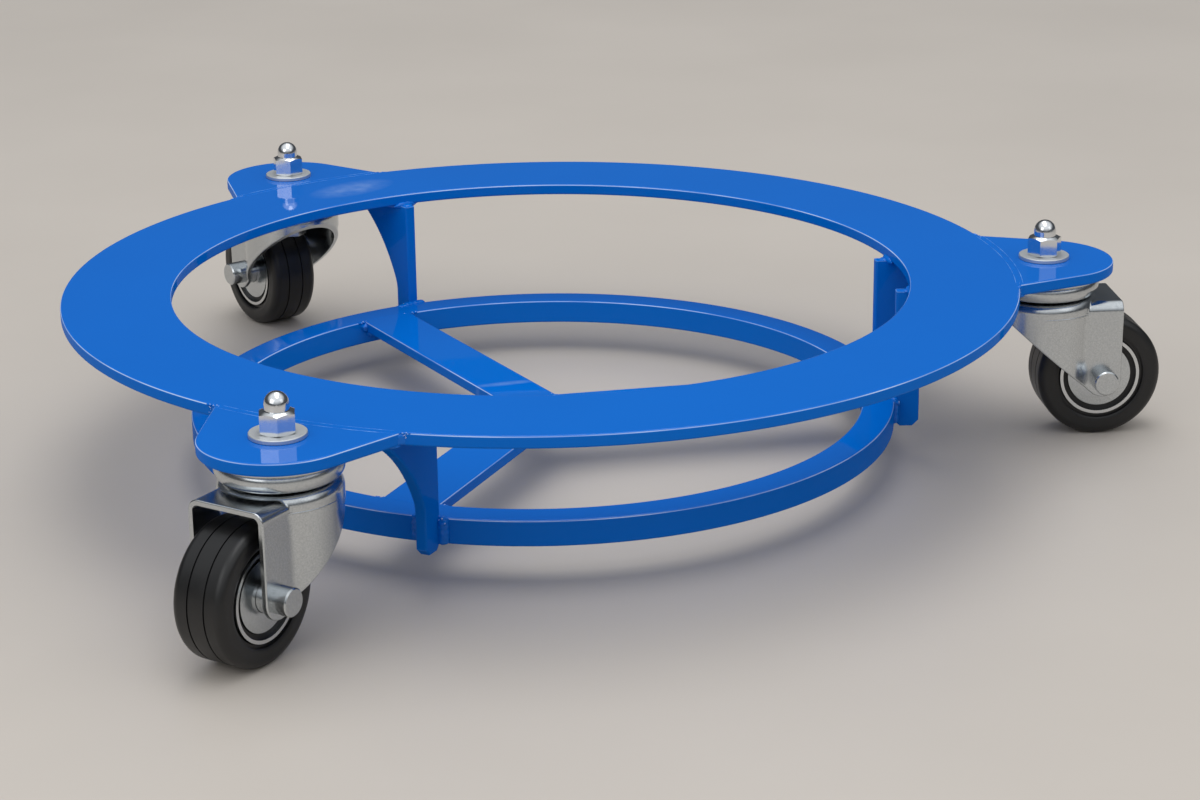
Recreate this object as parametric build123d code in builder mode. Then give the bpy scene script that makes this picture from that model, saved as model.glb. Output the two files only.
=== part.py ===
"""Keg dolly: a welded ring frame on three swivel casters.

Millimetres. +Z is up and the origin is the centre of the keg seat, level with the tops of the spokes
and the lower ring. +X points at one caster. Every caster is drawn once, with its bolt on the Z axis and
its wheel trailing along +X, and then set round the ring.
"""

import os
from math import asin, atan2, cos, degrees, hypot, radians, sin, sqrt, tan

from build123d import *

os.makedirs("parts", exist_ok=True)

# Plate frame
plate_thickness = 7.5
edge_round = 1.5
ring_outer_radius = 300.0
ring_width = 68.0
seat_drop = 78.0
lower_ring_inset = 8.0
lower_bar_width = 20.0
lower_bar_height = 16.0
lower_edge_round = 1.5
spoke_width = 36.0
spoke_edge_round = 1.5

# Spokes of the lower ring: where they meet, and where each ends round the ring
spoke_meeting = (-3.0, -21.0)
spoke_end_angles = {"right": 0.0, "rear": 118.0, "front": -116.5}

# Struts between the two rings, by their angle round the ring, each turned a little towards its caster
strut_angles = {"right_rear": 9.0, "right_front": -9.0, "rear": 110.0, "front": -110.5}
strut_turns = {"right_rear": -5.0, "right_front": 5.0, "rear": 11.0, "front": -11.0}
strut_seat_depth = 0.4
strut_thickness = 7.2
strut_foot_width = 15.5
strut_foot_drop = 2.8
strut_foot_chamfer = 4.0
strut_tip_inset = 8.0
strut_tip_height = 3.6
strut_knee_rise = 11.2
strut_knee_round = 20.0
strut_curve_radius = 105.0
strut_edge_round = 1.2

# Caster tabs on the ring, by their angle round the ring
caster_angles = {"right": 0.0, "rear": 120.0, "front": -120.0}
caster_rest_turns = {"right": 0.0, "rear": 0.0, "front": -7.0}
bolt_reach = 24.0
tab_end_radius = 44.0
tab_root_half_width = 58.0

# Mounting bolt, washer and cap nut
bolt_radius = 6.0
bolt_clearance = 0.5
bolt_head_height = 6.0
bolt_end_cover = 8.0
thread_clearance = 0.05
nut_flats = 19.0
nut_height = 12.5
nut_corner_chamfer = 1.6
nut_turns = {"right": 2.0, "rear": 40.0, "front": 31.0}
dome_radius = 7.0
dome_neck = 3.2
washer_radius = 16.0
washer_thickness = 2.5
washer_edge_round = 0.5

# Swivel head
cup_radius = 35.5
cup_flange_radius = 36.5
cup_flange_thickness = 3.0
cup_height = 13.0
cup_lip = 2.0
cup_wall = 4.0
swivel_gap = 1.5
ball_clearance = 0.03
upper_ball_radius = 4.5
upper_ball_circle_radius = 24.0
upper_ball_count = 16
lower_ball_radius = 3.0
lower_ball_circle_radius = 16.5
lower_ball_count = 14
kingpin_radius = 10.0
kingpin_fit = 0.05
kingpin_flange_radius = 16.0
kingpin_flange = 3.0
lower_race_thickness = 2.5
lower_race_wall = 1.5
lower_race_lip = 4.0

# Fork
trail = 36.0
fork_rise = 54.0
fork_width = 50.0
fork_sheet = 3.0
fork_bend_radius = 6.5
fork_shoulder_drop = 2.5
fork_shoulder_round = 2.0
fork_head_radius = 34.0
fork_head_step = 0.6
fork_head_depth = 15.0
fork_blend_radius = 8.0
fork_front_skirt = 7.0
fork_boss_radius = 11.5
fork_hole_clearance = 1.5
fork_edge_round = 0.8

# Axle and wheel
axle_radius = 6.0
axle_clearance = 0.1
axle_head_radius = 8.0
axle_head_length = 9.0
axle_head_chamfer = 0.8
axle_nut_wall = 2.0
sleeve_radius = 9.0
wheel_radius = 40.0
tyre_width = 34.0
tyre_corner_round = 5.0
tyre_bore_radius = 26.0
tyre_groove_width = 1.0
tyre_groove_depth = 0.9
tyre_groove_offset = 5.5
tyre_step_width = 2.5
tyre_step_depth = 2.5
rim_ring_wall = 2.0
rim_ring_length = 6.0
rim_ring_recess = 1.0
core_barrel_wall = 3.0
core_web_thickness = 10.0
core_hub_radius = 17.0
core_hub_length = 27.0
hub_disc_radius = 20.5
hub_disc_centre_thickness = 1.8
hub_disc_rim_thickness = 0.9
hub_disc_flat_radius = 12.0
hub_disc_clearance = 0.3
roller_radius = 2.0
roller_length = 24.0
roller_clearance = 0.1
roller_count = 12

# Levels that follow from the stack, from the keg seat at zero
ring_top = seat_drop
ring_under = ring_top - plate_thickness
cup_bottom = ring_under - cup_height
fork_top = cup_bottom - swivel_gap
fork_under = fork_top - fork_sheet
fork_shoulder = fork_top - fork_shoulder_drop
axle_height = fork_top - fork_rise
lower_ring_bottom = -lower_bar_height
strut_bottom = lower_ring_bottom - strut_foot_drop
lower_race_top = fork_under - 2 * (lower_ball_radius + ball_clearance)
lower_race_bottom = lower_race_top - lower_race_thickness
bolt_seat = lower_race_bottom - kingpin_flange
bolt_end = ring_top + washer_thickness + nut_height + dome_neck - bolt_end_cover + dome_radius

# Sizes that follow from their neighbours
ring_inner_radius = ring_outer_radius - ring_width
lower_ring_outer_radius = ring_inner_radius - lower_ring_inset
bolt_circle_radius = ring_outer_radius + bolt_reach
lower_ring_inner_radius = lower_ring_outer_radius - lower_bar_width
bolt_hole_radius = bolt_radius + bolt_clearance
fork_hole_radius = kingpin_radius + fork_hole_clearance
fork_rear = trail + fork_boss_radius
leg_inside = fork_width / 2 - fork_sheet
roller_circle = sleeve_radius + roller_clearance + roller_radius
core_bore_radius = roller_circle + roller_radius
lower_race_radius = lower_ball_circle_radius + lower_ball_radius + 2 * lower_race_wall
tyre_side = tyre_width / 2


def hand_in(piece, name):
    """Label a finished piece and write it as its own STEP file."""
    piece.label = name
    export_step(piece, f"parts/{name}.step")


def hand_in_at_casters(piece, name):
    """Write one copy of a fixed caster piece at each corner of the dolly."""
    for side in caster_angles:
        hand_in(piece.moved(caster_place(side)), f"{name}_{side}")


def hand_in_on_swivels(piece, name):
    """Write one copy of a swivelling piece at each corner, turned as its caster stands at rest."""
    for side in caster_angles:
        hand_in(piece.moved(caster_place(side, caster_rest_turns[side])), f"{name}_{side}")


def hand_in_caster_set(piece, name, turns=None):
    """Write the copies of a small caster piece together, as one node, each with its own turn if given."""
    turns = turns or dict.fromkeys(caster_angles, 0.0)
    copies = [piece.moved(caster_place(side, turns[side])) for side in caster_angles]
    hand_in(Compound(children=copies), name)


def caster_place(side, rest_turn=0.0):
    """Where a caster stands: its bolt on the bolt circle, its wheel trailing outward."""
    angle = caster_angles[side]
    turn = radians(angle)
    centre = (bolt_circle_radius * cos(turn), bolt_circle_radius * sin(turn), 0)
    return Location(centre, (0, 0, angle + rest_turn))


def turned(angle):
    """A turn about the middle of the dolly."""
    return Location((0, 0, 0), (0, 0, angle))


# Upper ring, cut from plate, with its edges rolled smooth
with BuildPart() as upper_ring:
    with BuildSketch(Plane.XY.offset(ring_under)):
        Circle(ring_outer_radius)
        Circle(ring_inner_radius, mode=Mode.SUBTRACT)
    extrude(amount=plate_thickness)
    fillet(upper_ring.edges().filter_by(GeomType.CIRCLE), edge_round)
hand_in(upper_ring.part, "upper_ring")

# Caster tab: a round end about the bolt, with sides that flare to the ring's outer edge
root_reach = bolt_circle_radius - sqrt(ring_outer_radius**2 - tab_root_half_width**2)
root_distance = hypot(root_reach, tab_root_half_width)
flare_normal = asin(tab_end_radius / root_distance) + atan2(root_reach, tab_root_half_width)
tangent_x = tab_end_radius * cos(flare_normal)
tangent_y = tab_end_radius * sin(flare_normal)
with BuildPart() as caster_tab:
    with BuildSketch(Plane.XY.offset(ring_under)):
        with BuildLine():
            ThreePointArc((tangent_x, -tangent_y), (tab_end_radius, 0), (tangent_x, tangent_y))
            Line((tangent_x, tangent_y), (-root_reach, tab_root_half_width))
            ThreePointArc(
                (-root_reach, tab_root_half_width),
                (ring_outer_radius - bolt_circle_radius, 0),
                (-root_reach, -tab_root_half_width),
            )
            Line((-root_reach, -tab_root_half_width), (tangent_x, -tangent_y))
        make_face()
    extrude(amount=plate_thickness)
    free_edges = caster_tab.edges().filter_by(Axis.Z, reverse=True)
    root_edges = free_edges.filter_by(GeomType.CIRCLE).sort_by(Axis.X)[:2]
    fillet([edge for edge in free_edges if edge not in root_edges], edge_round)
    with Locations((0, 0, ring_top)):
        Hole(bolt_hole_radius, depth=2 * plate_thickness)
hand_in_at_casters(caster_tab.part, "caster_tab")

# Strut plate, drawn from its straight inner edge outward, with a hollow outer edge
foot_inner = lower_ring_outer_radius
foot_outer = strut_foot_width + strut_seat_depth
strut_tip = ring_outer_radius - strut_tip_inset - foot_inner
with BuildPart() as strut:
    with BuildSketch(Plane.XZ) as strut_outline:
        with BuildLine():
            Polyline(
                (strut_tip, ring_under - strut_tip_height),
                (strut_tip, ring_under),
                (0, ring_under),
                (0, strut_bottom),
                (foot_outer, strut_bottom),
                (foot_outer, strut_knee_rise),
            )
            RadiusArc(
                (foot_outer, strut_knee_rise),
                (strut_tip, ring_under - strut_tip_height),
                strut_curve_radius,
            )
        make_face()
        corners = strut_outline.vertices()
        chamfer(corners.group_by(Axis.Y)[0], strut_foot_chamfer)
        knee = strut_outline.vertices().sort_by_distance((foot_outer, 0, strut_knee_rise))[0]
        fillet(knee, strut_knee_round)
    extrude(amount=strut_thickness / 2, both=True)
    below_ring = strut.edges().filter_by(Axis.Y, reverse=True)
    outline_edges = [edge for edge in below_ring if edge.center().Z < ring_under - edge_round]
    fillet(outline_edges, strut_edge_round)
strut_seat = Location((foot_inner - strut_seat_depth, 0, 0))
with BuildPart() as ring_space:
    with BuildSketch(Plane.XY.offset(lower_ring_bottom)):
        Circle(lower_ring_outer_radius)
    extrude(amount=lower_bar_height)
for place, angle in strut_angles.items():
    standing = strut.part.moved(strut_seat * turned(strut_turns[place]))
    hand_in((standing - ring_space.part).moved(turned(angle)), f"strut_{place}")

# Lower ring, a rectangular bar rolled to a circle, its top level with the keg seat
with BuildPart() as lower_ring:
    with BuildSketch(Plane.XY.offset(lower_ring_bottom)):
        Circle(lower_ring_outer_radius)
        Circle(lower_ring_inner_radius, mode=Mode.SUBTRACT)
    extrude(amount=lower_bar_height)
    fillet(lower_ring.edges().filter_by(GeomType.CIRCLE), lower_edge_round)
hand_in(lower_ring.part, "lower_ring")

# Spokes, flat bars mitred to each other where they meet and cut round to fit the lower ring
spoke_half = spoke_width / 2
spoke_ends = {}
spoke_headings = {}
for side, angle in spoke_end_angles.items():
    end_x = lower_ring_inner_radius * cos(radians(angle))
    end_y = lower_ring_inner_radius * sin(radians(angle))
    spoke_ends[side] = hypot(end_x - spoke_meeting[0], end_y - spoke_meeting[1])
    spoke_headings[side] = degrees(atan2(end_y - spoke_meeting[1], end_x - spoke_meeting[0])) % 360
with BuildPart() as ring_bore:
    with BuildSketch():
        Circle(lower_ring_inner_radius)
    extrude(amount=-plate_thickness)
for side, heading in spoke_headings.items():
    gaps = [(other - heading) % 360 for name, other in spoke_headings.items() if name != side]
    left_mitre = spoke_half / tan(radians(min(gaps) / 2))
    right_mitre = spoke_half / tan(radians((360 - max(gaps)) / 2))
    with BuildPart() as spoke:
        with BuildSketch():
            with BuildLine():
                Polyline(
                    (spoke_ends[side] + spoke_half, spoke_half),
                    (left_mitre, spoke_half),
                    (0, 0),
                    (right_mitre, -spoke_half),
                    (spoke_ends[side] + spoke_half, -spoke_half),
                    close=True,
                )
            make_face()
        extrude(amount=-plate_thickness)
        fillet(spoke.edges().filter_by(Axis.X), spoke_edge_round)
    laid = spoke.part.moved(Location((*spoke_meeting, 0), (0, 0, heading)))
    hand_in(laid & ring_bore.part, f"spoke_{side}")

# Mounting bolt, its head under the kingpin and its end inside the cap nut
with BuildPart() as mounting_bolt:
    with BuildSketch(Plane.XY.offset(bolt_seat)):
        RegularPolygon(nut_flats / 2, 6, major_radius=False)
    extrude(amount=-bolt_head_height)
    with BuildSketch(Plane.XY.offset(bolt_seat)):
        Circle(bolt_radius)
    extrude(amount=bolt_end - bolt_seat)
hand_in_caster_set(mounting_bolt.part, "mounting_bolts")

# Flat washer on the tab
with BuildPart() as washer:
    with BuildSketch(Plane.XY.offset(ring_top)):
        Circle(washer_radius)
        Circle(bolt_hole_radius, mode=Mode.SUBTRACT)
    extrude(amount=washer_thickness)
    rims = washer.edges().filter_by(GeomType.CIRCLE).sort_by(SortBy.RADIUS)[-2:]
    fillet(rims, washer_edge_round)
hand_in_caster_set(washer.part, "washers")

# Domed cap nut: a hexagon with turned-off corners, a short neck and a half-round dome
nut_seat = ring_top + washer_thickness
nut_top = nut_seat + nut_height
with BuildPart() as cap_nut:
    with BuildSketch(Plane.XY.offset(nut_seat)):
        RegularPolygon(nut_flats / 2, 6, major_radius=False)
    extrude(amount=nut_height)
    corner_radius = nut_flats / 2 / cos(radians(30))
    with BuildSketch(Plane.XZ):
        with BuildLine():
            Polyline(
                (0, nut_seat),
                (corner_radius - nut_corner_chamfer, nut_seat),
                (corner_radius, nut_seat + nut_corner_chamfer / 2),
                (corner_radius, nut_top - nut_corner_chamfer),
                (corner_radius - 2 * nut_corner_chamfer, nut_top),
                (0, nut_top),
                close=True,
            )
        make_face()
    revolve(axis=Axis.Z, mode=Mode.INTERSECT)
    with BuildSketch(Plane.XZ):
        with BuildLine():
            Polyline(
                (0, nut_top + dome_neck + dome_radius),
                (0, nut_top),
                (dome_radius, nut_top),
                (dome_radius, nut_top + dome_neck),
            )
            RadiusArc(
                (dome_radius, nut_top + dome_neck),
                (0, nut_top + dome_neck + dome_radius),
                -dome_radius,
            )
        make_face()
    revolve(axis=Axis.Z)
    with BuildSketch(Plane.XY.offset(nut_seat)):
        Circle(bolt_radius + thread_clearance)
    extrude(amount=bolt_end + thread_clearance - nut_seat, mode=Mode.SUBTRACT)
hand_in_caster_set(cap_nut.part, "cap_nuts", nut_turns)

# Upper race cup, pressed: a thin flange under the tab over a bulging wall that hides the balls
ball_roof = fork_top + 2 * (upper_ball_radius + ball_clearance)
cup_shoulder = ring_under - cup_flange_thickness
cup_neck_radius = cup_radius - cup_lip
with BuildPart() as race_cup:
    with BuildSketch(Plane.XZ):
        with BuildLine():
            Polyline(
                (cup_radius - cup_wall, cup_bottom),
                (cup_radius - cup_wall, ball_roof),
                (kingpin_radius + kingpin_fit, ball_roof),
                (kingpin_radius + kingpin_fit, ring_under),
                (cup_flange_radius, ring_under),
                (cup_flange_radius, cup_shoulder),
                (cup_neck_radius, cup_shoulder),
            )
            Spline(
                (cup_neck_radius, cup_shoulder),
                (cup_radius, (cup_shoulder + cup_bottom) / 2),
                (cup_radius - cup_lip, cup_bottom),
                tangents=((1, -1), (-1, -1)),
            )
            Line((cup_radius - cup_lip, cup_bottom), (cup_radius - cup_wall, cup_bottom))
        make_face()
    revolve(axis=Axis.Z)
hand_in_at_casters(race_cup.part, "race_cup")

# Hollow kingpin, from under the tab to the flange that carries the lower race
with BuildPart() as kingpin:
    with BuildSketch(Plane.XY.offset(bolt_seat)):
        Circle(kingpin_flange_radius)
    extrude(amount=kingpin_flange)
    with BuildSketch(Plane.XY.offset(bolt_seat)):
        Circle(kingpin_radius)
    extrude(amount=ring_under - bolt_seat)
    with Locations((0, 0, ring_under)):
        Hole(bolt_hole_radius, depth=ring_under - bolt_seat)
hand_in_at_casters(kingpin.part, "kingpin")

# Lower race, a shallow cup that keeps the lower balls against the fork
with BuildPart() as lower_race:
    with BuildSketch(Plane.XY.offset(lower_race_bottom)):
        Circle(lower_race_radius)
        Circle(kingpin_radius + kingpin_fit, mode=Mode.SUBTRACT)
    extrude(amount=lower_race_thickness)
    with BuildSketch(Plane.XY.offset(lower_race_top)):
        Circle(lower_race_radius)
        Circle(lower_race_radius - lower_race_wall, mode=Mode.SUBTRACT)
    extrude(amount=lower_race_lip)
hand_in_at_casters(lower_race.part, "lower_race")

# Balls above and below the fork head
with BuildPart() as upper_balls:
    with Locations((0, 0, fork_top + upper_ball_radius + ball_clearance)):
        with PolarLocations(upper_ball_circle_radius, upper_ball_count):
            Sphere(upper_ball_radius)
hand_in_on_swivels(upper_balls.part, "upper_balls")

with BuildPart() as lower_balls:
    with Locations((0, 0, fork_under - lower_ball_radius - ball_clearance)):
        with PolarLocations(lower_ball_circle_radius, lower_ball_count):
            Sphere(lower_ball_radius)
hand_in_on_swivels(lower_balls.part, "lower_balls")

# Fork, pressed from one sheet: a round head stands a little over the flat shoulder of the two legs
bend_bottom = fork_shoulder - fork_bend_radius
fork_bottom = axle_height - fork_boss_radius


def fork_block(head_radius, inset, bottom):
    """The space inside the fork's outer skin, or inside its inner skin when set in by the sheet."""
    width = fork_width - 2 * inset
    radius = head_radius - inset
    rear = fork_rear + inset
    bend = fork_bend_radius - inset
    head_rise = fork_top - inset - bend_bottom
    shoulder_rise = fork_shoulder - inset - bend_bottom
    with BuildPart() as block:
        with BuildSketch(Plane.XY.offset(bend_bottom)) as outline:
            Circle(radius)
            with Locations((rear / 2, 0)):
                Rectangle(rear, width)
            waist = outline.vertices().sort_by(Axis.X)[:-2]
            fillet(waist, fork_blend_radius + inset)
        extrude(amount=bottom - bend_bottom)
        with BuildSketch(Plane.YZ) as shoulder:
            with Locations((0, bend_bottom + shoulder_rise / 2)):
                Rectangle(width, shoulder_rise)
            fillet(shoulder.vertices().group_by(Axis.Y)[-1], bend)
        extrude(amount=rear)
        with BuildSketch(Plane.XZ) as head:
            with Locations((radius / 2, bend_bottom + head_rise / 2)):
                Rectangle(radius, head_rise)
            fillet(head.vertices().group_by(Axis.Y)[-1].sort_by(Axis.X)[-1], bend)
        revolve(axis=Axis.Z)
    return block.part


skirt_front = (-fork_head_radius - fork_head_step, fork_top - fork_front_skirt)
to_boss = (trail - skirt_front[0], axle_height - skirt_front[1])
boss_distance = hypot(*to_boss)
slope = atan2(to_boss[1], to_boss[0]) - asin(fork_boss_radius / boss_distance)
slope_length = sqrt(boss_distance**2 - fork_boss_radius**2)
slope_end = (
    skirt_front[0] + slope_length * cos(slope),
    skirt_front[1] + slope_length * sin(slope),
)
with BuildPart() as fork:
    add(fork_block(fork_head_radius, 0, fork_bottom))
    add(fork_block(fork_head_radius + fork_head_step, 0, fork_top - fork_head_depth))
    with BuildSketch(Plane.XZ):
        with BuildLine():
            Line(skirt_front, slope_end)
            ThreePointArc(slope_end, (trail, fork_bottom), (fork_rear, axle_height))
            Polyline(
                (fork_rear, axle_height),
                (fork_rear, fork_top),
                (skirt_front[0], fork_top),
                skirt_front,
            )
        make_face()
    extrude(amount=fork_width, both=True, mode=Mode.INTERSECT)
    fillet(fork.faces().filter_by(Axis.X).sort_by(Axis.X)[-1].edges(), fork_edge_round)
    seat_line = fork.edges().filter_by_position(Axis.Z, fork_shoulder, fork_shoulder)
    fillet(seat_line.filter_by(GeomType.CIRCLE), fork_shoulder_round)
    add(fork_block(fork_head_radius, fork_sheet, fork_bottom), mode=Mode.SUBTRACT)
    with BuildSketch(Plane.XZ):
        with Locations((trail, axle_height)):
            Circle(axle_radius + axle_clearance)
    extrude(amount=fork_width, both=True, mode=Mode.SUBTRACT)
    with Locations((0, 0, fork_top)):
        Hole(fork_hole_radius, depth=2 * fork_sheet)
hand_in_on_swivels(fork.part, "fork")

# Planes for what turns about the axle: across the axle, and a half section through it
axle_centre = (trail, 0, axle_height)
across_axle = Plane(origin=axle_centre, x_dir=(1, 0, 0), z_dir=(0, 1, 0))
wheel_section = Plane(origin=axle_centre, x_dir=(0, 1, 0), z_dir=(1, 0, 0))
axle_line = Axis(axle_centre, (0, 1, 0))
leg_face = fork_width / 2

# Axle with its plain round head on the front leg
with BuildPart() as axle:
    with BuildSketch(across_axle.offset(-leg_face)):
        Circle(axle_head_radius)
    extrude(amount=-axle_head_length)
    chamfer(axle.faces().sort_by(Axis.Y)[0].edges(), axle_head_chamfer)
    with BuildSketch(across_axle.offset(-leg_face)):
        Circle(axle_radius)
    extrude(amount=fork_width + axle_head_length - axle_nut_wall)
hand_in_on_swivels(axle.part, "axle")

# Plain round nut on the other leg
with BuildPart() as axle_nut:
    with BuildSketch(across_axle.offset(leg_face)):
        Circle(axle_head_radius)
    extrude(amount=axle_head_length)
    chamfer(axle_nut.faces().sort_by(Axis.Y)[-1].edges(), axle_head_chamfer)
    with BuildSketch(across_axle.offset(leg_face)):
        Circle(axle_radius + thread_clearance)
    extrude(amount=axle_head_length - axle_nut_wall, mode=Mode.SUBTRACT)
hand_in_on_swivels(axle_nut.part, "axle_nut")

# Sleeve on the axle, clamped between the fork legs
with BuildPart() as axle_sleeve:
    with BuildSketch(across_axle):
        Circle(sleeve_radius)
        Circle(axle_radius + axle_clearance, mode=Mode.SUBTRACT)
    extrude(amount=leg_inside, both=True)
hand_in_on_swivels(axle_sleeve.part, "axle_sleeve")

# Rubber tyre with round corners, two fine grooves and a step beside its bright rings
with BuildPart() as tyre:
    with BuildSketch(wheel_section) as tyre_outline:
        with Locations((0, (wheel_radius + tyre_bore_radius) / 2)):
            Rectangle(tyre_width, wheel_radius - tyre_bore_radius)
        fillet(tyre_outline.vertices(), tyre_corner_round)
        with Locations((-tyre_groove_offset, wheel_radius), (tyre_groove_offset, wheel_radius)):
            Rectangle(tyre_groove_width, 2 * tyre_groove_depth, mode=Mode.SUBTRACT)
        with Locations((-tyre_side, tyre_bore_radius), (tyre_side, tyre_bore_radius)):
            Rectangle(2 * tyre_step_depth, 2 * tyre_step_width, mode=Mode.SUBTRACT)
    revolve(axis=axle_line)
hand_in_on_swivels(tyre.part, "tyre")

# Bright rings let into the two sides of the wheel
ring_face = tyre_side - rim_ring_recess
ring_back = ring_face - rim_ring_length
with BuildPart() as rim_rings:
    with BuildSketch(wheel_section):
        for side in (-1, 1):
            with Locations((side * (ring_face + ring_back) / 2, tyre_bore_radius - rim_ring_wall / 2)):
                Rectangle(rim_ring_length, rim_ring_wall)
    revolve(axis=axle_line)
hand_in_on_swivels(rim_rings.part, "rim_rings")

# Wheel core: barrel under the tyre, thin web and a hub round the rollers
barrel_outer = tyre_bore_radius - rim_ring_wall
barrel_inner = barrel_outer - core_barrel_wall
with BuildPart() as wheel_core:
    with BuildSketch(wheel_section):
        with Locations((0, (tyre_bore_radius + barrel_inner) / 2)):
            Rectangle(2 * ring_back, tyre_bore_radius - barrel_inner)
        with Locations((0, (barrel_outer + barrel_inner) / 2)):
            Rectangle(core_hub_length, barrel_outer - barrel_inner)
        with Locations((0, (core_hub_radius + barrel_inner) / 2)):
            Rectangle(core_web_thickness, barrel_inner - core_hub_radius)
        with Locations((0, (core_hub_radius + core_bore_radius) / 2)):
            Rectangle(core_hub_length, core_hub_radius - core_bore_radius)
    revolve(axis=axle_line)
hand_in_on_swivels(wheel_core.part, "wheel_core")

# Hub discs that close the two ends of the hub
hub_end = core_hub_length / 2
disc_bore = sleeve_radius + hub_disc_clearance
with BuildPart() as hub_discs:
    with BuildSketch(wheel_section):
        for side in (-1, 1):
            with BuildLine():
                Polyline(
                    (side * hub_end, disc_bore),
                    (side * (hub_end + hub_disc_centre_thickness), disc_bore),
                    (side * (hub_end + hub_disc_centre_thickness), hub_disc_flat_radius),
                    (side * (hub_end + hub_disc_rim_thickness), hub_disc_radius),
                    (side * hub_end, hub_disc_radius),
                    close=True,
                )
            make_face()
    revolve(axis=axle_line)
hand_in_on_swivels(hub_discs.part, "hub_discs")

# Rollers between the hub and the axle sleeve
with BuildPart() as rollers:
    with BuildSketch(across_axle):
        with PolarLocations(roller_circle, roller_count):
            Circle(roller_radius)
    extrude(amount=roller_length / 2, both=True)
hand_in_on_swivels(rollers.part, "rollers")
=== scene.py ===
import random
from math import asin, atan2, cos, degrees, pi, radians, sin, sqrt

import bmesh
import bpy
from mathutils import Matrix, Vector
from mathutils.bvhtree import BVHTree


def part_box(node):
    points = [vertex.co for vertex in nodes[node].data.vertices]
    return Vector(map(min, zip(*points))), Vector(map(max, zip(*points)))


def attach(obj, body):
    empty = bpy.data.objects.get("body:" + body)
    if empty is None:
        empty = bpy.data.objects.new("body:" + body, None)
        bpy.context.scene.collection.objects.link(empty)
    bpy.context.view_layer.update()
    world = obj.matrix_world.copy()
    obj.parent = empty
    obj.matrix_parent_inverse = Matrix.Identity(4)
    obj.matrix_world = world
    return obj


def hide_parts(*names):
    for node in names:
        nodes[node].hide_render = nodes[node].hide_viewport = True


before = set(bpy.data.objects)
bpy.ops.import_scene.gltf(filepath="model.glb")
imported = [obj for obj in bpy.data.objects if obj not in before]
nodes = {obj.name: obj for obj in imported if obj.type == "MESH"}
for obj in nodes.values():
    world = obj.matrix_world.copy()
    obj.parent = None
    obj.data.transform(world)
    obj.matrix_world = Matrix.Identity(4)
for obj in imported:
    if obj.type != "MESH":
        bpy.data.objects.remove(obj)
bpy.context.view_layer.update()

# Powder coat on the welded steel frame: thermoset polyester, sprayed dry and baked, so it is one smooth
# blue skin with a faint orange peel and a clear gloss that mirrors the nuts. The frame is a plate ring
# with tabs, strut plates, a rolled bar ring and flat spokes, all cut or rolled from steel and welded.
SIDES = {"right": 0.0, "rear": 120.0, "front": -120.0}
# Each strut has its angle round the dolly and its turn from the radius, in degrees.
STRUTS = {
    "right_rear": (9.0, -5.0),
    "right_front": (-9.0, 5.0),
    "rear": (110.0, 11.0),
    "front": (-110.5, -11.0),
}
# Painted sheens, pale reflections painted into the coat: one on the ring by the rear tab and one on the rear
# spoke. Each is a centre, heading, half length and half width.
PAINTED_RING_SHEEN = ((-0.117, 0.239, 0.078), 38.0, 0.036, 0.019)
PAINTED_SPOKE_SHEEN = ((-0.023, 0.023, 0.0), 11.0, 0.026, 0.0045)


def linear(hex_colour):
    """An sRGB hex colour as linear RGBA."""
    channels = [int(hex_colour[i:i + 2], 16) / 255 for i in (1, 3, 5)]
    return [c / 12.92 if c <= 0.04045 else ((c + 0.055) / 1.055) ** 2.4 for c in channels] + [1.0]


def set_inputs(tree, node, sockets):
    """Set a node's inputs, or link them to the outputs of other nodes; hex colours become linear."""
    for name, value in sockets.items():
        if isinstance(value, bpy.types.NodeSocket):
            tree.links.new(value, node.inputs[name])
        else:
            node.inputs[name].default_value = linear(value) if isinstance(value, str) else value


def add_node(tree, kind, sockets=None, output=None, **settings):
    """Add a shader node with its settings and inputs, and give back its first output or the named one."""
    new = tree.nodes.new(kind)
    for name, value in settings.items():
        setattr(new, name, value)
    set_inputs(tree, new, sockets or {})
    if output:
        return new.outputs[output]
    return next((socket for socket in new.outputs if socket.enabled), None)


def repeats(millimetres):
    """The scale of a pattern that repeats about every so many millimetres."""
    return 1000.0 / millimetres


def new_material(name):
    """A node material with its principled shader and its coordinates in metres."""
    material = bpy.data.materials.new(name)
    material.use_nodes = True
    tree = material.node_tree
    tree.nodes.clear()
    surface = add_node(tree, "ShaderNodeBsdfPrincipled")
    add_node(tree, "ShaderNodeOutputMaterial", {"Surface": surface})
    place = add_node(tree, "ShaderNodeTexCoord", output="Object")
    return material, tree, surface.node, place


def finish_nodes(material, *names):
    """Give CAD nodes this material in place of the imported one."""
    for name in names:
        nodes[name].data.materials.clear()
        nodes[name].data.materials.append(material)


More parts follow.
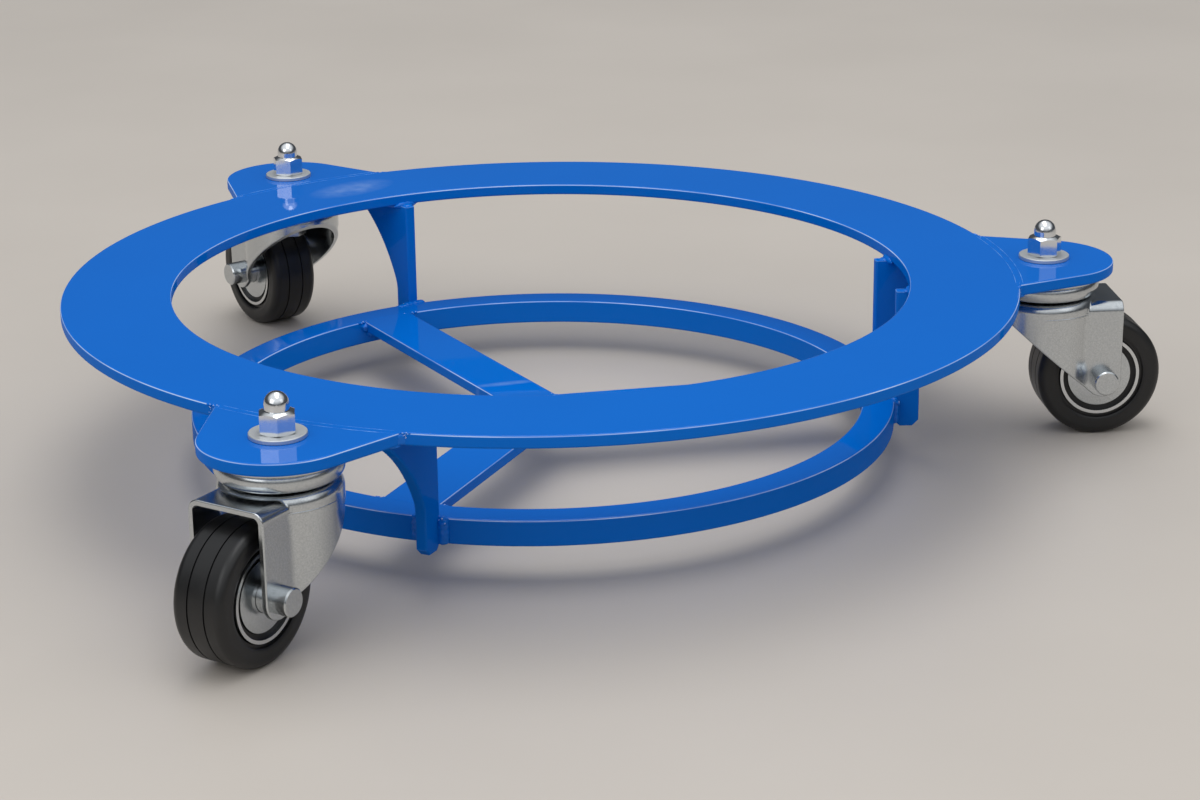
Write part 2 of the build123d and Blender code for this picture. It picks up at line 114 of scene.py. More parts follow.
def powder_coat(name, gloss=(0.2, 0.85), painted_edge_highlights=True, ripple=0.000006, painted_sheens=()):
    """Saturated blue under a clear gloss, on upright and level faces, with a fine ripple in metres.

    Pale lines are painted on rounded edges as their highlights. Painted sheens are pale patches painted on
    as reflections, each as its centre, heading, half length and half width."""
    material, tree, shader, place = new_material(name)
    drift = add_node(tree, "ShaderNodeTexNoise", {"Vector": place, "Scale": repeats(90), "Detail": 2.0})
    colour = add_node(
        tree, "ShaderNodeMix", {"Factor": drift, "A": "#0265c5", "B": "#0369cb"}, data_type="RGBA",
    )
    normal = add_node(tree, "ShaderNodeNewGeometry", output="Normal")
    tilt = add_node(tree, "ShaderNodeSeparateXYZ", {"Vector": normal}, "Z")
    # Painted highlights: a pale line on fillets tilted between upright and level, broken up by noise.
    if painted_edge_highlights:
        rising = add_node(tree, "ShaderNodeMapRange", {"Value": tilt, "From Min": 0.4, "From Max": 0.52})
        falling = add_node(
            tree, "ShaderNodeMapRange",
            {"Value": tilt, "From Min": 0.66, "From Max": 0.8, "To Min": 1.0, "To Max": 0.0},
        )
        highlight_breakup = add_node(tree, "ShaderNodeTexNoise", {"Vector": place, "Scale": repeats(60), "Detail": 2.0})
        uneven_highlight = add_node(
            tree, "ShaderNodeMapRange",
            {"Value": highlight_breakup, "From Min": 0.35, "From Max": 0.65, "To Min": 0.3, "To Max": 0.85},
        )
        edge = add_node(tree, "ShaderNodeMath", {0: rising, 1: falling}, operation="MULTIPLY")
        painted_edge_line = add_node(tree, "ShaderNodeMath", {0: edge, 1: uneven_highlight}, operation="MULTIPLY")
        colour = add_node(
            tree, "ShaderNodeMix", {"Factor": painted_edge_line, "A": colour, "B": "#cfe2fa"}, data_type="RGBA",
        )
        # A second painted highlight: a paler blue wherever the bevelled normal turns away from the true one,
        # on every sharp edge.
        rounded = add_node(tree, "ShaderNodeBevel", {"Radius": 0.0012}, samples=6)
        bend = add_node(tree, "ShaderNodeVectorMath", {0: rounded, 1: normal}, operation="DOT_PRODUCT")
        corner = add_node(
            tree, "ShaderNodeMapRange",
            {"Value": bend, "From Min": 0.8, "From Max": 0.99, "To Min": 0.7, "To Max": 0.0},
        )
        colour = add_node(
            tree, "ShaderNodeMix", {"Factor": corner, "A": colour, "B": "#7fb0ec"}, data_type="RGBA",
        )
    # Each painted sheen mixes a pale, mottled patch into the colour as a painted reflection.
    for centre, heading, half_length, half_width in painted_sheens:
        patch = add_node(
            tree, "ShaderNodeMapping",
            {"Vector": place, "Location": centre, "Rotation": (0, 0, radians(heading)),
             "Scale": (half_length, half_width, half_length)},
            vector_type="TEXTURE",
        )
        middle = add_node(
            tree, "ShaderNodeTexGradient", {"Vector": patch}, "Fac", gradient_type="SPHERICAL",
        )
        fade = add_node(tree, "ShaderNodeMapRange", {"Value": middle, "From Max": 0.8})
        cloud = add_node(tree, "ShaderNodeTexNoise", {"Vector": place, "Scale": repeats(9), "Detail": 5.0})
        mottle = add_node(
            tree, "ShaderNodeMapRange",
            {"Value": cloud, "From Min": 0.25, "From Max": 0.85, "To Min": 0.08, "To Max": 0.4},
        )
        painted_highlight = add_node(tree, "ShaderNodeMath", {0: fade, 1: mottle}, operation="MULTIPLY")
        colour = add_node(
            tree, "ShaderNodeMix", {"Factor": painted_highlight, "A": colour, "B": "#a9c6ec"}, data_type="RGBA",
        )
    orange_peel = add_node(
        tree, "ShaderNodeTexNoise", {"Vector": place, "Scale": repeats(1.9), "Detail": 1.0},
    )
    peel = add_node(tree, "ShaderNodeBump", {"Height": orange_peel, "Strength": 1.0, "Distance": ripple})
    set_inputs(tree, shader, {
        "Base Color": colour,
        "Roughness": add_node(
            tree, "ShaderNodeMapRange",
            {"Value": drift, "From Min": 0.3, "From Max": 0.7, "To Min": 0.30, "To Max": 0.38},
        ),
        "Specular IOR Level": 0.0,
        "Normal": peel,
        "Coat Weight": add_node(
            tree, "ShaderNodeMapRange",
            {"Value": tilt, "From Min": 0.8, "From Max": 0.98, "To Min": gloss[0], "To Max": gloss[1]},
        ),
        "Coat Roughness": 0.03,
        "Coat Normal": peel,
    })
    return material


coat = powder_coat("polyester_powder_coat")
sheen_painted_coat = powder_coat("powder_coat_with_painted_ring_sheen", painted_sheens=[PAINTED_RING_SHEEN])
finish_nodes(coat, "lower_ring", "spoke_right", "spoke_front")
finish_nodes(coat, *[f"caster_tab_{side}" for side in SIDES])
finish_nodes(powder_coat("powder_coat_on_struts", gloss=(0.12, 0.5)), *[f"strut_{name}" for name in STRUTS])
finish_nodes(sheen_painted_coat, "upper_ring")
finish_nodes(powder_coat("powder_coat_with_painted_spoke_sheen", painted_sheens=[PAINTED_SPOKE_SHEEN]), "spoke_rear")

# The two rings, turned again in fine steps in place of the coarser solids, so that their long edges run
# smooth: the flat ring is cut from plate and the lower one is a rolled bar, both with rounded edges.
RING_EDGE = 0.2999
RING_BORE = 0.232
LOWER_EDGE = 0.224
LOWER_BORE = 0.204
EDGE_ROUND = 0.0015
CORNER_STEPS = 8
RING_STEPS = 720


def round_point(radius, angle, height=0.0):
    """A point by its radius and angle round the dolly's axis."""
    return Vector((radius * cos(radians(angle)), radius * sin(radians(angle)), height))


def turned_ring(node, bore, edge, material):
    """A ring of rectangular section with rounded edges that takes the place of a ring node."""
    low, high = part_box(node)
    section = []
    for quarter, (radius, height) in enumerate((
        (edge - EDGE_ROUND, high.z - EDGE_ROUND),
        (bore + EDGE_ROUND, high.z - EDGE_ROUND),
        (bore + EDGE_ROUND, low.z + EDGE_ROUND),
        (edge - EDGE_ROUND, low.z + EDGE_ROUND),
    )):
        for k in range(CORNER_STEPS + 1):
            lean = radians(90 * (quarter + k / CORNER_STEPS))
            section.append((radius, height, cos(lean), sin(lean)))
    points = []
    normals = []
    for i in range(RING_STEPS):
        angle = 360 * i / RING_STEPS
        for radius, height, out, up in section:
            points.append(round_point(radius + EDGE_ROUND * out, angle, height + EDGE_ROUND * up))
            normals.append(round_point(out, angle, up))
    count = len(section)
    faces = []
    for i in range(RING_STEPS):
        here = i * count
        there = (i + 1) % RING_STEPS * count
        for k in range(count):
            after = (k + 1) % count
            faces.append((here + k, there + k, there + after, here + after))
    data = bpy.data.meshes.new(f"{node}_turned")
    data.from_pydata(points, [], faces)
    for face in data.polygons:
        face.use_smooth = True
    data.normals_split_custom_set_from_vertices(normals)
    data.materials.append(material)
    piece = bpy.data.objects.new(f"{node}_turned", data)
    bpy.context.scene.collection.objects.link(piece)
    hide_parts(node)
    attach(piece, "frame")


turned_ring("upper_ring", RING_BORE, RING_EDGE, sheen_painted_coat)
turned_ring("lower_ring", LOWER_BORE, LOWER_EDGE, coat)

# Weld metal on the tabs, under the coat: each tab is butt-welded to the ring's outer edge. The top is
# ground flush, the seam below keeps its ripples, and both corners are filled and a little lumpy, with pale
# strokes painted on them as glints. The coat ripples deeper here, over the grain of the weld metal.
weld_coat = powder_coat("powder_coat_on_welds", gloss=(0.5, 0.7), painted_edge_highlights=False, ripple=0.0003)
RING_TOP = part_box("upper_ring")[1].z
RING_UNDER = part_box("upper_ring")[0].z
UP = Vector((0, 0, 1))
TAB_ROOT_HALF = 0.058
FLUSH = 0.00004
SEAM_INSIDE = 0.0022
SEAM_OUTSIDE = 0.0008
BEAD_SIDES = 16
BEAD_STEP = 0.0007
BEAD_PITCH = 0.0036
BEAD_STEPS_LEAST = 6
END_SIZE = 0.06
CORNER_LEAN = 40.0
CORNER_SHIFT = 0.0012
CORNER_SINK = 0.0003
CORNER_LEVELS = (RING_UNDER + 0.0004, RING_TOP - 0.0006)
CORNER_HALF = 0.005
CORNER_RISE = 0.0009
CORNER_STROKES = 7
STROKE_SPREAD = 0.0035
STROKE_LEVELS = (RING_UNDER + 0.0025, RING_TOP - 0.001)
STROKE_ASIDE = 0.0009
STROKE_UP = 0.0006
STROKE_HALF = 0.00015
DAB_STRETCH = (0.8, 1.25)
LUMP_JITTER = 0.0006
LUMP_DEPTH = (-0.0014, -0.0002)
LUMP_RADIUS = (0.0008, 0.0015)
LUMP_RISE = (0.0004, 0.0008)
LUMP_SINK = 0.0005
SPECK_SHARE = 0.6
SPECK_RADIUS = (0.0003, 0.0005)
SPECK_RISE = 0.00025
SPECK_SINK = 0.0007
SPECK_OUT = 0.0004
LEVEL_FACE = 0.9999
dice = random.Random(11)


def arc_path(radius, start, end, height):
    """Points along a level arc round the dolly's axis."""
    count = max(BEAD_STEPS_LEAST, int(abs(radians(end - start)) * radius / BEAD_STEP))
    return [round_point(radius, start + (end - start) * i / count, height) for i in range(count + 1)]


def line_path(start, end):
    """Points along a straight run."""
    count = max(BEAD_STEPS_LEAST, int((end - start).length / BEAD_STEP))
    return [start.lerp(end, i / count) for i in range(count + 1)]


def lay_bead(mesh, path, across, rise, up, lumps=0.16, taper=0.003):
    """Sweep a rounded bead along a path, with the ripples of each weld puddle and tapered ends.

    Across and rise are its half width and height, lumps the share by which puddles differ, and taper the
    length of each end."""
    lengths = [0.0]
    for before, after in zip(path, path[1:]):
        lengths.append(lengths[-1] + (after - before).length)
    total = lengths[-1]
    taper = min(taper, total / 2)
    puddles = [1 + dice.uniform(-lumps, lumps) for _ in range(int(total / BEAD_PITCH) + 3)]
    rings = []
    for i, point in enumerate(path):
        ahead = path[min(i + 1, len(path) - 1)]
        behind = path[max(i - 1, 0)]
        side = (ahead - behind).cross(up).normalized()
        along = lengths[i] / BEAD_PITCH
        puddle = puddles[int(along)] * (1 - along % 1) + puddles[int(along) + 1] * (along % 1)
        swell = puddle * (1 + lumps * 0.5 * sin(2 * pi * along))
        end_gap = min(lengths[i], total - lengths[i])
        close = sin(pi / 2 * min(1.0, max(END_SIZE, end_gap / taper)))
        ring = []
        for k in range(BEAD_SIDES):
            turn = 2 * pi * k / BEAD_SIDES
            offset = side * (across * cos(turn)) + up * (rise * sin(turn))
            ring.append(mesh.verts.new(point + offset * (swell * close)))
        rings.append(ring)
    for ring, following in zip(rings, rings[1:]):
        for k in range(BEAD_SIDES):
            after = (k + 1) % BEAD_SIDES
            mesh.faces.new((ring[k], ring[after], following[after], following[k]))
    mesh.faces.new(list(reversed(rings[0])))
    mesh.faces.new(rings[-1])


def ground_seam(mesh, bore, edge, start, end, top):
    """A flat run of weld metal, ground level with the plates on both sides of it."""
    rows = []
    for radius, height in ((edge, top - EDGE_ROUND), (edge, top), (bore, top), (bore, top - EDGE_ROUND)):
        rows.append([mesh.verts.new(p) for p in arc_path(edge, start, end, height)])
        for vertex in rows[-1]:
            vertex.co.xy *= radius / edge
    for row, following in zip(rows, rows[1:] + rows[:1]):
        for i in range(len(row) - 1):
            mesh.faces.new((row[i], row[i + 1], following[i + 1], following[i]))
    mesh.faces.new([row[0] for row in rows])
    mesh.faces.new([row[-1] for row in reversed(rows)])


def dab(mesh, centre, radius, rise, up):
    """One small round lump, half sunk in the surface that it sits on."""
    ball = bmesh.ops.create_icosphere(mesh, subdivisions=2, radius=1.0)
    spread = [radius * dice.uniform(*DAB_STRETCH) for _ in range(2)]
    shape = up.to_track_quat("Z", "Y").to_matrix().to_4x4() @ Matrix.Diagonal((*spread, rise, 1.0))
    bmesh.ops.transform(mesh, matrix=Matrix.Translation(centre) @ shape, verts=ball["verts"])


def corner_lumps(mesh, specks, corner, along, out, reach, count):
    """Fill a corner's top with low lumps along its edge, some of them with a pale tip painted as a glint."""
    for i in range(count):
        slide = (2 * i / (count - 1) - 1) * reach + dice.uniform(-LUMP_JITTER, LUMP_JITTER)
        spot = corner + along * slide + out * dice.uniform(*LUMP_DEPTH)
        rise = dice.uniform(*LUMP_RISE)
        dab(mesh, spot - UP * LUMP_SINK, dice.uniform(*LUMP_RADIUS), rise, UP)
        if dice.random() < SPECK_SHARE:
            tip = spot + UP * (rise - SPECK_SINK) + out * SPECK_OUT
            dab(specks, tip, dice.uniform(*SPECK_RADIUS), SPECK_RISE, UP)


def weld_piece(name, mesh, material, body="frame"):
    """Turn laid metal into one piece that moves with a body and takes a slot's finish."""
    bmesh.ops.recalc_face_normals(mesh, faces=mesh.faces)
    data = bpy.data.meshes.new(name)
    mesh.to_mesh(data)
    mesh.free()
    for face in data.polygons:
        face.use_smooth = abs(face.normal.z) < LEVEL_FACE
    data.materials.append(material)
    piece = bpy.data.objects.new(name, data)
    bpy.context.scene.collection.objects.link(piece)
    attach(piece, body)


root_angle = degrees(asin(TAB_ROOT_HALF / RING_EDGE))
tab_beads = bmesh.new()
specks = bmesh.new()
for angle in SIDES.values():
    start = angle - root_angle
    end = angle + root_angle
    ground_seam(tab_beads, RING_EDGE - SEAM_INSIDE, RING_EDGE + SEAM_OUTSIDE, start, end, RING_TOP + FLUSH)
    lay_bead(tab_beads, arc_path(RING_EDGE, start, end, RING_UNDER), across=0.0034, rise=0.0017, up=UP)
    for hand in (-1, 1):
        corner = round_point(RING_EDGE, angle + hand * root_angle)
        out = round_point(1, angle + hand * CORNER_LEAN)
        tangent = round_point(1, angle + hand * (root_angle + 90))
        fill = corner + tangent * CORNER_SHIFT - out * CORNER_SINK
        upright = line_path(fill + UP * CORNER_LEVELS[0], fill + UP * CORNER_LEVELS[1])
        lay_bead(tab_beads, upright, CORNER_HALF, CORNER_RISE, out, lumps=0.1, taper=0.0012)
        for _ in range(CORNER_STROKES):
            slide = dice.uniform(-STROKE_SPREAD, STROKE_SPREAD)
            level = dice.uniform(*STROKE_LEVELS)
            bulge = CORNER_RISE * sqrt(1 - (slide / CORNER_HALF) ** 2)
            spot = fill + tangent * slide + UP * level + out * bulge
            lean_aside = dice.uniform(-STROKE_ASIDE, STROKE_ASIDE)
            lean_up = dice.uniform(-STROKE_UP, STROKE_UP)
            lean = tangent * lean_aside + UP * lean_up
            stroke = line_path(spot - lean, spot + lean)
            lay_bead(specks, stroke, STROKE_HALF, STROKE_HALF, out, lumps=0.3, taper=0.0005)
        corner_lumps(tab_beads, specks, corner + UP * RING_TOP, tangent, out, reach=0.005, count=8)
weld_piece("tab_welds", tab_beads, weld_coat)

# Weld metal on the struts: fillets along both sides of each head under the ring, with a low cap and a flare
# where the inner edge meets the ring's bore, and chunky beads with a low knob on each side where the foot
# stands against the lower ring. The knobs have short pale strokes painted on them as glints.
STRUT_HALF = 0.0036
STRUT_LENGTH = 0.066
HEAD_FILLET = 0.0026
HEAD_SINK = 0.0005
FLANK_GAP = 0.0006
BORE_LAP = 0.002
FOOT_FILLET = 0.0056
WIDE_FOOT_FILLET = 0.0118
FOOT_LAP = 0.0012
FOOT_RISE = 0.003
FOOT_SINK = 0.0005
FOOT_LEVELS = (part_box("lower_ring")[0].z - 0.0004, 0.0012)
KNOB_ASIDE = 0.0022
KNOB_OUT = 0.0012
KNOB_DOWN = 0.0014
KNOB_STROKES = 5
STROKE_POINTS = 5
STROKE_STARTS = (20, 340)
STROKE_TURN = 0.16
RIM_ASIDE = 0.0021
RIM_UP = 0.0019
RIM_OUT = 0.001
RIM_LIFT = 0.0003
CAP_LAP = 0.0014
CAP_SINK = 0.0004
CAP_RISE = 0.0012
FLARE_REACH = 0.0062
FLARE_OUT = 0.0006
FLARE_SINK = 0.0002
CROWN_REACH = 0.0092
CROWN_IN = 0.0006
CROWN_SINK = 0.0004
strut_beads = bmesh.new()
for angle, turn in STRUTS.values():
    foot = round_point(LOWER_EDGE, angle)
    out = round_point(1, angle + turn)
    aside = round_point(1, angle + turn + 90)
    radial = round_point(1, angle)
    nearest = min(SIDES.values(), key=lambda side_angle: abs(side_angle - angle))
    caster_hand = 1 if nearest > angle else -1
    for hand in (-1, 1):
        flank = foot + aside * (hand * (STRUT_HALF + FLANK_GAP)) + UP * (RING_UNDER - HEAD_SINK)
        head = line_path(flank + out * (RING_BORE - LOWER_EDGE + BORE_LAP), flank + out * STRUT_LENGTH)
        lay_bead(strut_beads, head, HEAD_FILLET, HEAD_FILLET, UP)
        reach = WIDE_FOOT_FILLET if hand == caster_hand else FOOT_FILLET
        toe = foot + aside * (hand * (STRUT_HALF + reach / 2 - FOOT_LAP)) - radial * FOOT_SINK
        upright = line_path(toe + UP * FOOT_LEVELS[0], toe + UP * FOOT_LEVELS[1])
        lay_bead(strut_beads, upright, reach / 2 + FOOT_LAP, FOOT_RISE, radial, lumps=0.07, taper=0.002)
        knob = foot + aside * (hand * (STRUT_HALF + KNOB_ASIDE)) + radial * KNOB_OUT - UP * KNOB_DOWN
        dab(strut_beads, knob, radius=0.0031, rise=0.0012, up=(radial + UP).normalized())
        for _ in range(KNOB_STROKES):
            sweep = radians(dice.uniform(*STROKE_STARTS))
            stroke = []
            for k in range(STROKE_POINTS):
                around = sweep + STROKE_TURN * k
                rim = aside * (RIM_ASIDE * cos(around)) + UP * (RIM_UP * sin(around))
                stroke.append(knob + rim + radial * RIM_OUT + UP * RIM_LIFT)
            lay_bead(specks, stroke, across=0.0003, rise=0.0003, up=radial, lumps=0.3, taper=0.0006)
    cap_start = round_point(LOWER_EDGE + CAP_LAP, angle, RING_UNDER - CAP_SINK)
    cap_end = round_point(RING_BORE + BORE_LAP, angle, RING_UNDER)
    cap = line_path(cap_start, cap_end)
    lay_bead(strut_beads, cap, STRUT_HALF, CAP_RISE, UP, lumps=0.02, taper=0.004)
    flare = foot + radial * (RING_BORE - LOWER_EDGE + FLARE_OUT) + UP * (RING_UNDER - FLARE_SINK)
    spread = aside * (STRUT_HALF + FLARE_REACH)
    flared = line_path(flare - spread, flare + spread)
    lay_bead(strut_beads, flared, HEAD_FILLET, HEAD_FILLET, UP, lumps=0.03, taper=0.0075)
    crown = foot - radial * CROWN_IN - UP * CROWN_SINK
    spread = aside * CROWN_REACH
    crowned = line_path(crown - spread, crown + spread)
    lay_bead(strut_beads, crowned, across=0.0026, rise=0.0021, up=UP, lumps=0.12)
weld_piece("strut_welds", strut_beads, weld_coat)

# Weld metal on the spokes: the ends are welded into the lower ring and the mitres to each other. The tops
# are ground flush for the keg, the undersides keep plain beads and the corners stay lumpy.
SPOKE_HALF = 0.018
SPOKE_MEETING = Vector((-0.003, -0.021, 0))
SPOKE_ENDS = {"right": 0.0, "rear": 118.0, "front": -116.5}
SPOKE_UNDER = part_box("spoke_right")[0].z
SPOKE_SEAM_INSIDE = 0.0006
SPOKE_SEAM_OUTSIDE = 0.0018
FILL_OUT = 0.0006
FILL_SINK = 0.0008
UNDER_DROP = 0.0008
UNDER_BEAD = 0.003
MITRE_SINK = 0.0003
spoke_beads = bmesh.new()
headings = []
for end_angle in SPOKE_ENDS.values():
    along = (round_point(LOWER_BORE, end_angle) - SPOKE_MEETING).normalized()
    aside = UP.cross(along)
    headings.append(degrees(atan2(along.y, along.x)) % 360)
    corners = []
    for hand in (-1, 1):
        start = SPOKE_MEETING + aside * (hand * SPOKE_HALF)
        shift = start.dot(along)
        reach = sqrt(shift ** 2 - start.length_squared + LOWER_BORE ** 2) - shift
        corner = start + along * reach
        corners.append(degrees(atan2(corner.y, corner.x)))
        out = (aside * hand - along).normalized()
        fill = corner + out * FILL_OUT
        upright = line_path(fill + UP * SPOKE_UNDER, fill - UP * FILL_SINK)
        lay_bead(spoke_beads, upright, across=0.003, rise=0.0028, up=out, lumps=0.22, taper=0.0022)
        tangent = UP.cross(corner).normalized()
        corner_lumps(spoke_beads, specks, corner, tangent, out, reach=0.0045, count=6)
    ground_seam(
        spoke_beads, LOWER_BORE - SPOKE_SEAM_INSIDE, LOWER_BORE + SPOKE_SEAM_OUTSIDE,
        corners[0], corners[1], FLUSH,
    )
    under = arc_path(LOWER_BORE - UNDER_DROP, corners[0], corners[1], SPOKE_UNDER - UNDER_DROP)
    lay_bead(spoke_beads, under, UNDER_BEAD, UNDER_BEAD, UP)
headings.sort()
for heading, following in zip(headings, headings[1:] + [headings[0] + 360]):
    half_gap = (following - heading) / 2
    bisector = round_point(1, heading + half_gap)
    notch = SPOKE_MEETING + bisector * (SPOKE_HALF / sin(radians(half_gap)))
    below = UP * (SPOKE_UNDER + MITRE_SINK)
    lay_bead(spoke_beads, line_path(SPOKE_MEETING + below, notch + below), across=0.0028, rise=0.0019, up=UP)
    corner_lumps(spoke_beads, specks, notch, UP.cross(bisector), bisector, reach=0.003, count=4)
weld_piece("spoke_welds", spoke_beads, weld_coat)

# Pale marks painted on the welds: the small pale specks on the tips of the lumps are painted glints, and the
# toes of the ground tab seams are low ridges in a paler coat, painted highlights that show as fine lines.
SEAM_TOES = (RING_EDGE - SEAM_INSIDE, RING_EDGE + SEAM_INSIDE)
TOE_SHORT = 0.4
TOE_HALF = 0.00016
TOE_RISE = 0.00008
# The specks' pale blue-white coat, mixed in patches, is painted glints.
painted_highlight, tree, shader, place = new_material("painted_glint_coat")
patches = add_node(tree, "ShaderNodeTexNoise", {"Vector": place, "Scale": repeats(4.0), "Detail": 3.0})
pale_highlight_share = add_node(tree, "ShaderNodeMapRange", {"Value": patches, "From Min": 0.35, "From Max": 0.65})
grit = add_node(tree, "ShaderNodeTexNoise", {"Vector": place, "Scale": repeats(1.2), "Detail": 2.0})
set_inputs(tree, shader, {
    "Base Color": add_node(
        tree, "ShaderNodeMix", {"Factor": pale_highlight_share, "A": "#5d95dc", "B": "#dbe8f8"}, data_type="RGBA",
    ),
    "Roughness": add_node(
        tree, "ShaderNodeMapRange",
        {"Value": grit, "From Min": 0.3, "From Max": 0.7, "To Min": 0.28, "To Max": 0.45},
    ),
})
weld_piece("painted_glint_specks", specks, painted_highlight)
# The seam toes' paler blue, mixed in patches, is a painted highlight on the low ridges.
seam_highlight_coat, tree, shader, place = new_material("powder_coat_with_painted_seam_highlights")
patches = add_node(tree, "ShaderNodeTexNoise", {"Vector": place, "Scale": repeats(9.0), "Detail": 3.0})
pale_highlight_share = add_node(tree, "ShaderNodeMapRange", {"Value": patches, "From Min": 0.4, "From Max": 0.7})
grit = add_node(tree, "ShaderNodeTexNoise", {"Vector": place, "Scale": repeats(1.2), "Detail": 2.0})
set_inputs(tree, shader, {
    "Base Color": add_node(
        tree, "ShaderNodeMix", {"Factor": pale_highlight_share, "A": "#1a6dcc", "B": "#7fb0ea"}, data_type="RGBA",
    ),
    "Roughness": add_node(
        tree, "ShaderNodeMapRange",
        {"Value": grit, "From Min": 0.3, "From Max": 0.7, "To Min": 0.3, "To Max": 0.4},
    ),
    "Specular IOR Level": 0.15,
})
seam_toes = bmesh.new()
for angle in SIDES.values():
    for radius in SEAM_TOES:
        toe = arc_path(radius, angle - root_angle + TOE_SHORT, angle + root_angle - TOE_SHORT, RING_TOP)
        lay_bead(seam_toes, toe, TOE_HALF, TOE_RISE, UP, lumps=0.3, taper=0.006)
weld_piece("seam_toes", seam_toes, seam_highlight_coat)

# Domed cap nuts: turned steel, polished and bright plated, screwed down on the tabs. They are near mirrors,
# with a little haze where the polish is uneven.
bright_plate, tree, shader, place = new_material("polished_bright_plate")
haze = add_node(tree, "ShaderNodeTexNoise", {"Vector": place, "Scale": repeats(3.0), "Detail": 4.0})
set_inputs(tree, shader, {
    "Base Color": add_node(
        tree, "ShaderNodeMix", {"Factor": haze, "A": "#d5d8db", "B": "#e4e6e8"}, data_type="RGBA",
    ),
    "Metallic": 1.0,
    "Roughness": add_node(
        tree, "ShaderNodeMapRange",
        {"Value": haze, "From Min": 0.3, "From Max": 0.7, "To Min": 0.1, "To Max": 0.18},
    ),
})
finish_nodes(bright_plate, "cap_nuts")

# Zinc plate on the pressed and turned caster steel: bright passivated zinc, a soft grey mirror broken by a
# fine spangle, with cloudy patches where the bath left it duller. The spangle is drawn at 0.9 mm, coarser
# than it is, so that it shows.
zinc, tree, shader, place = new_material("passivated_zinc_plate")
spangle = add_node(tree, "ShaderNodeTexNoise", {"Vector": place, "Scale": repeats(0.9), "Detail": 5.0})
crystals = add_node(tree, "ShaderNodeMapRange", {"Value": spangle, "From Min": 0.3, "From Max": 0.7})
cloud = add_node(tree, "ShaderNodeTexNoise", {"Vector": place, "Scale": repeats(18.0), "Detail": 4.0})
set_inputs(tree, shader, {
    "Base Color": add_node(
        tree, "ShaderNodeMix", {"Factor": crystals, "A": "#b6babd", "B": "#cbcfd1"}, data_type="RGBA",
    ),
    "Metallic": 1.0,
    "Roughness": add_node(
        tree, "ShaderNodeMapRange",
        {"Value": cloud, "From Min": 0.3, "From Max": 0.7, "To Min": 0.18, "To Max": 0.27},
    ),
    "Normal": add_node(tree, "ShaderNodeBump", {"Height": spangle, "Strength": 1.0, "Distance": 0.000008}),
})
finish_nodes(zinc, "mounting_bolts")
for kind in ("race_cup", "kingpin", "lower_race", "fork", "axle", "axle_nut", "hub_discs"):
    finish_nodes(zinc, *[f"{kind}_{side}" for side in SIDES])

# Washers: stamped sheet with the same plate, clamped under the nuts. Tumbling left them a dull pale satin
# that catches light from all round. Its grain is drawn at 0.5 mm, coarser than it is, so that it shows.
satin_plate, tree, shader, place = new_material("tumbled_satin_plate")
tumble = add_node(tree, "ShaderNodeTexNoise", {"Vector": place, "Scale": repeats(0.5), "Detail": 4.0})
set_inputs(tree, shader, {
    "Base Color": add_node(
        tree, "ShaderNodeMix", {"Factor": tumble, "A": "#cdd1d4", "B": "#e2e4e6"}, data_type="RGBA",
    ),
    "Metallic": 1.0,
    "Roughness": add_node(
        tree, "ShaderNodeMapRange",
        {"Value": tumble, "From Min": 0.3, "From Max": 0.7, "To Min": 0.5, "To Max": 0.62},
    ),
    "Normal": add_node(tree, "ShaderNodeBump", {"Height": tumble, "Strength": 1.0, "Distance": 0.00001}),
})
finish_nodes(satin_plate, "washers")

# Pressing marks on the forks: where the sheet was drawn over the die, a fine ridge runs round each flank of
# the head, a little below its shoulder. Each is a thin round bead of the same zinc, half sunk in the flank.
MARK_DROP = 0.0098
MARK_REACH = (43.0, 102.0)
MARK_STEPS = 60
MARK_HALF = 0.00035
MARK_RISE = 0.0005
CLEAR_OF_FORK = 0.08
BOLT_CIRCLE = 0.324
REST_TURNS = {"right": 0.0, "rear": 0.0, "front": -7.0}
for side, angle in SIDES.items():
    marks = bmesh.new()
    fork = nodes[f"fork_{side}"]
    corners = [fork.matrix_world @ vertex.co for vertex in fork.data.vertices]
    flanks = BVHTree.FromPolygons(corners, [list(face.vertices) for face in fork.data.polygons])
    axis = round_point(BOLT_CIRCLE, angle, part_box(f"fork_{side}")[1].z - MARK_DROP)
    for hand in (-1, 1):
        path = []
        for i in range(MARK_STEPS + 1):
            sweep = MARK_REACH[0] + (MARK_REACH[1] - MARK_REACH[0]) * i / MARK_STEPS
            around = angle + REST_TURNS[side] + hand * sweep
            ray = round_point(1, around)
            path.append(flanks.ray_cast(axis + ray * CLEAR_OF_FORK, -ray)[0])
        lay_bead(marks, path, MARK_HALF, MARK_RISE, UP, lumps=0.12, taper=0.01)
    weld_piece(f"fork_marks_{side}", marks, zinc, f"swivel_{side}")

# Ground steel of the bearings and the turned rings in the wheel sides: plain, brighter and cleaner than
# the plated pressings. The grinding marks are drawn at 0.7 mm, coarser than they are, so that they show.
ground_steel, tree, shader, place = new_material("ground_bearing_steel")
grinding = add_node(tree, "ShaderNodeTexNoise", {"Vector": place, "Scale": repeats(0.7), "Detail": 2.0})
set_inputs(tree, shader, {
    "Base Color": add_node(
        tree, "ShaderNodeMix", {"Factor": grinding, "A": "#c3c6c8", "B": "#dcdedf"}, data_type="RGBA",
    ),
    "Metallic": 1.0,
    "Roughness": add_node(
        tree, "ShaderNodeMapRange",
        {"Value": grinding, "From Min": 0.3, "From Max": 0.7, "To Min": 0.16, "To Max": 0.26},
    ),
})
for kind in ("axle_sleeve", "rollers", "rim_rings"):
    finish_nodes(ground_steel, *[f"{kind}_{side}" for side in SIDES])

